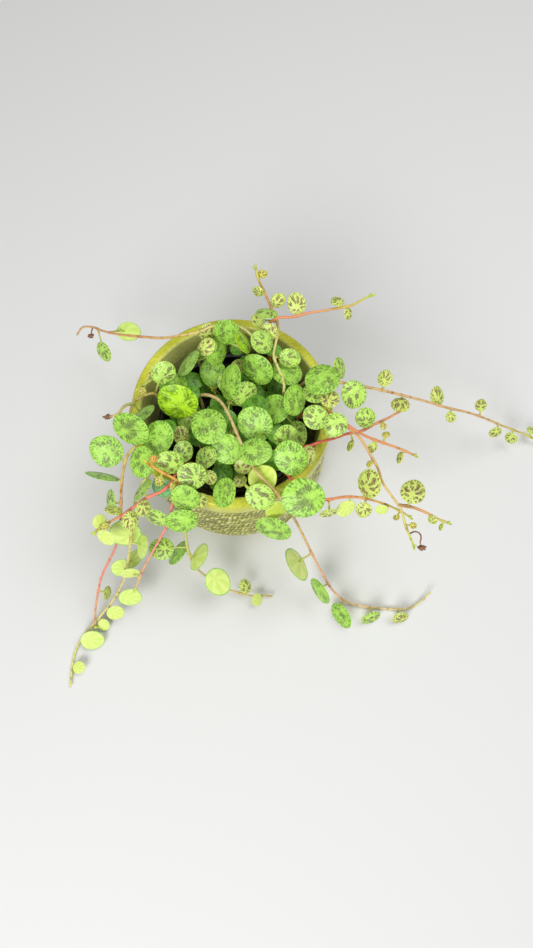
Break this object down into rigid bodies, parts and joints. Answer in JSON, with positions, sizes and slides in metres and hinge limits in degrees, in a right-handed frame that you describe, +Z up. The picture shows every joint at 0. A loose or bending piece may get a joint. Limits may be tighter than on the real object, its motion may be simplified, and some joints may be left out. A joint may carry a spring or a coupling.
{
  "type": "potted peperomia",
  "caption": "Trailing string-of-turtles peperomia with round patterned leaves, growing in a thin plastic grow pot inside a glazed stoneware cover pot with a smooth collar.",
  "frame": {"origin": "centre of the cover pot's flat foot, on the surface it stands on", "axes": "+Z up; -Y towards the side that faces the viewer; +X along the longest trailing stem"},
  "size_m": [0.2598, 0.1832, 0.0912],
  "materials": {
    "glazed_stoneware": "glossy olive-green glaze, textured below the collar",
    "nursery_plastic": "black moulded plastic, satin",
    "potting_mix": "dark crumbly potting mix",
    "peperomia": "fleshy leaves with a soft sheen, lime green with dark patches"
  },
  "bodies": {
    "root": {"cover_pot": "glazed_stoneware", "grow_pot": "nursery_plastic", "soil": "potting_mix", "stem_back": "peperomia", "stem_back_left": "peperomia", "stem_back_right": "peperomia", "stem_crown_back": "peperomia", "stem_crown_back_left": "peperomia", "stem_crown_back_right": "peperomia", "stem_crown_deep": "peperomia", "stem_crown_far_left": "peperomia", "stem_crown_far_right": "peperomia", "stem_crown_front": "peperomia", "stem_crown_front_left": "peperomia", "stem_crown_front_middle": "peperomia", "stem_crown_left": "peperomia", "stem_crown_left_low": "peperomia", "stem_crown_middle": "peperomia", "stem_crown_right": "peperomia", "stem_crown_right_back": "peperomia", "stem_front_arc": "peperomia", "stem_front_left_long": "peperomia", "stem_front_pink": "peperomia", "stem_front_right": "peperomia", "stem_front_small": "peperomia", "stem_left_front": "peperomia", "stem_left_red": "peperomia", "stem_left_tip": "peperomia", "stem_left_up": "peperomia", "stem_orange_shoot": "peperomia", "stem_right_fork": "peperomia", "stem_right_front": "peperomia", "stem_right_long": "peperomia", "stem_right_mid": "peperomia"}
  },
  "joints": []
}
